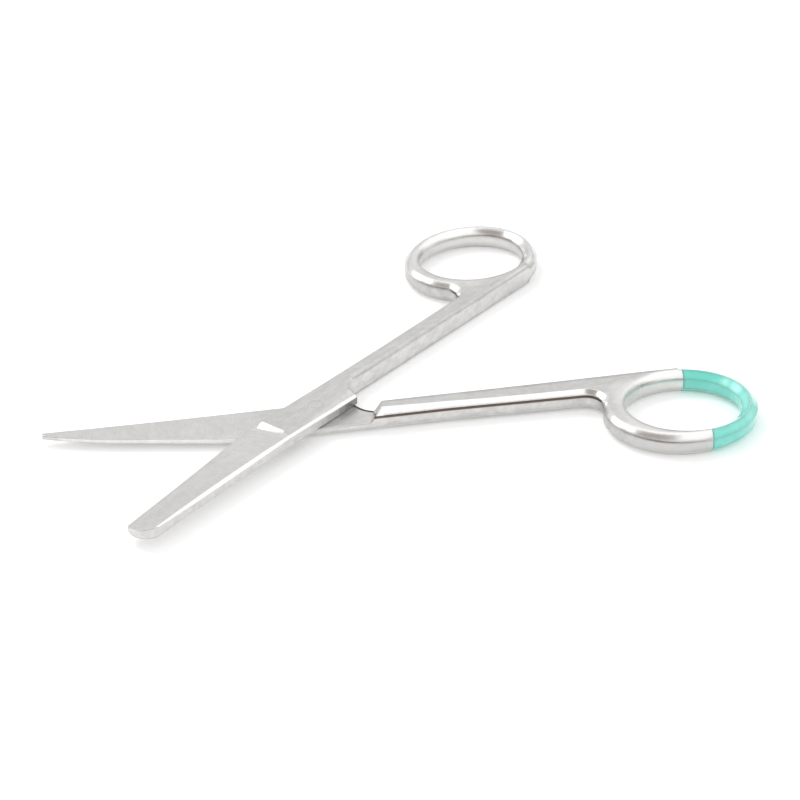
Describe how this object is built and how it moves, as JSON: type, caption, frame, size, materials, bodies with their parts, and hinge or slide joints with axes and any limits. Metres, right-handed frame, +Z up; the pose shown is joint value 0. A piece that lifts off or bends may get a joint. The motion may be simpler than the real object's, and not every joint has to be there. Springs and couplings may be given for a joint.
{
  "type": "surgical scissors",
  "caption": "Straight operating scissors with one sharp and one blunt point, a lap joint with a pivot screw, two finger rings, one ring coated, lying open.",
  "frame": {"origin": "on the pivot's axis, in the plane that the scissors rest on", "axes": "+X along the middle of the opening towards the finger rings, +Y towards the upper half's ring, +Z up through the joint"},
  "size_m": [0.132, 0.1056, 0.0051],
  "materials": {
    "steel": "satin",
    "steel_upper": "satin",
    "steel_screw": "satin",
    "coating": "gloss"
  },
  "bodies": {
    "lower": {"lower_half": "steel", "ring_coating": "coating"},
    "upper": {"upper_half": "steel_upper", "pivot_screw": "steel_screw"}
  },
  "joints": [
    {"name": "pivot", "type": "hinge", "parent": "lower", "child": "upper", "pos_m": [0, 0, 0.00241], "axis": [0, 0, 1], "range_deg": [-40, 80]}
  ]
}
